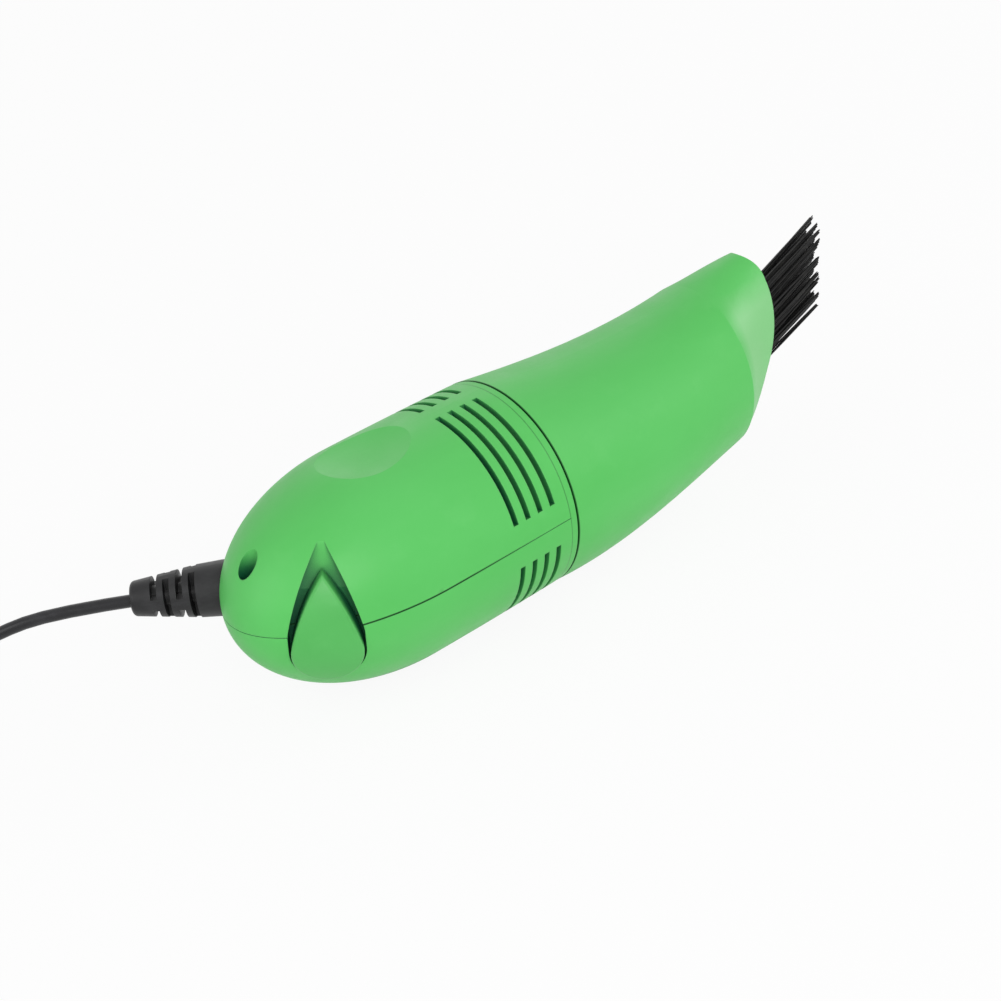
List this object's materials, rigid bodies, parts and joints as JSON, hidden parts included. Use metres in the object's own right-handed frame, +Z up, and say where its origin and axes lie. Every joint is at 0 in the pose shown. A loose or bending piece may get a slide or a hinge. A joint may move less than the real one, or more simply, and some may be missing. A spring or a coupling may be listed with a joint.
{
  "type": "keyboard vacuum cleaner",
  "caption": "Hand-held vacuum for keyboards: round green housing with a beaked nose, a black brush, a side slide switch and a cable with a ribbed boot. Its USB plug is a guess.",
  "frame": {"origin": "under the middle of the vacuum, without its cable, on the surface it rests on", "axes": "+X toward the nose and brush, +Z up, +Y toward the side that the cable leaves"},
  "size_m": [0.2621, 0.1025, 0.0452],
  "materials": {
    "green_plastic": "moulded, semi-gloss",
    "steel": "plated",
    "black_plastic": "moulded, satin",
    "white_plastic": "moulded, satin",
    "cloth": "fine mesh",
    "brass": "plated",
    "tan_ceramic": "dipped",
    "bristle": "nylon strands",
    "black_rubber": "satin",
    "red_rubber": "satin"
  },
  "bodies": {
    "housing": {"upper_shell": "green_plastic", "lower_shell": "green_plastic", "collar_ring": "green_plastic", "shell_screw": "steel", "motor_screws": "steel", "motor_plate": "steel", "motor_can": "steel", "usb_shell": "steel", "air_guide": "black_plastic", "motor_end_cap": "black_plastic", "motor_terminals": "brass", "motor_capacitor": "tan_ceramic", "switch_case": "steel", "switch_pins": "brass", "cable_boot": "black_rubber", "cable": "black_rubber", "cable_coil": "black_rubber", "cable_tail": "black_rubber", "cable_tie": "black_plastic", "red_lead": "red_rubber", "black_lead": "black_rubber", "bridge_lead": "red_rubber", "usb_body": "black_rubber", "usb_tongue": "white_plastic", "usb_contacts": "brass"},
    "button": {"switch_button": "green_plastic", "switch_lever": "black_plastic"},
    "nose": {"nose_cap": "green_plastic", "brush_socket": "green_plastic"},
    "brush": {"brush_holder": "black_plastic", "bristles": "bristle"},
    "filter": {"filter_frame": "black_plastic", "filter_cloth": "cloth"},
    "rotor": {"motor_shaft": "steel", "impeller": "white_plastic"}
  },
  "joints": [
    {"name": "switch_slide", "type": "slide", "parent": "housing", "child": "button", "axis": [0.0734, -0.0616, 0.9954], "range_m": [0, 0.0034]},
    {"name": "nose_pull", "type": "slide", "parent": "housing", "child": "nose", "axis": [1, 0, 0], "range_m": [0, 0.012]},
    {"name": "brush_pull", "type": "slide", "parent": "nose", "child": "brush", "axis": [0.9304, 0, 0.3665], "range_m": [0, 0.014]},
    {"name": "filter_pull", "type": "slide", "parent": "housing", "child": "filter", "axis": [1, 0, 0], "range_m": [0, 0.0046]},
    {"name": "motor_spin", "type": "hinge", "parent": "housing", "child": "rotor", "pos_m": [-0.03298, 0, 0.0226], "axis": [1, 0, 0], "continuous": true}
  ]
}
